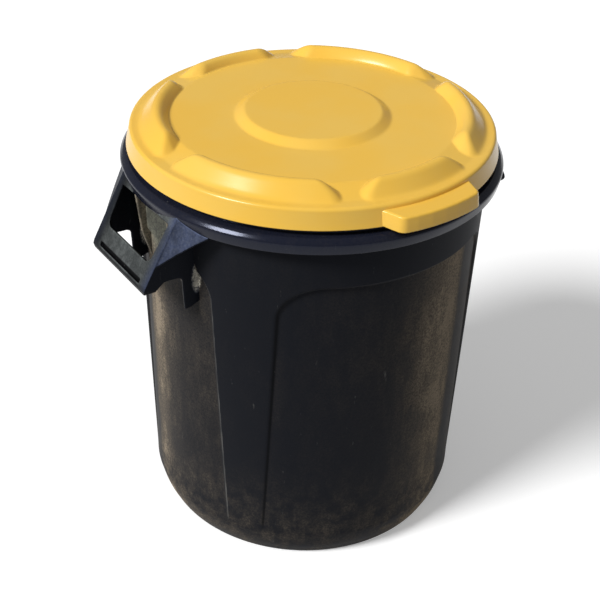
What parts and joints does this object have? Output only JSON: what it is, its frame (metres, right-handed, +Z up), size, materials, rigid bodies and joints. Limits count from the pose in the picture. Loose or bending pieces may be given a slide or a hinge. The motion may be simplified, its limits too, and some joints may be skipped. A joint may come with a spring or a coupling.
{
  "type": "round waste container with lid",
  "caption": "Round tapered plastic waste container with recessed side panels, two moulded carrying handles and a loose lift-off lid with a pull tab.",
  "frame": {"origin": "centre of the container's flat base, on the floor", "axes": "+Z up; the two handles lie on the X axis; the front of the container, near the lid's pull tab, faces -Y"},
  "size_m": [0.5712, 0.5096, 0.5843],
  "materials": {
    "container_plastic": "satin black polyethylene, scuffed and dusty",
    "lid_plastic": "semi-gloss yellow polyethylene with light scuffs"
  },
  "bodies": {
    "container": {"container_base": "container_plastic", "container_wall": "container_plastic", "container_rim": "container_plastic", "right_handle": "container_plastic", "left_handle": "container_plastic", "right_handle_ribs": "container_plastic", "left_handle_ribs": "container_plastic"},
    "lid": {"lid_cover": "lid_plastic", "lid_pull_tab": "lid_plastic"}
  },
  "joints": [
    {"name": "lid_lift", "type": "slide", "parent": "container", "child": "lid", "axis": [0, 0, 1], "range_m": [0, 0.12]}
  ]
}
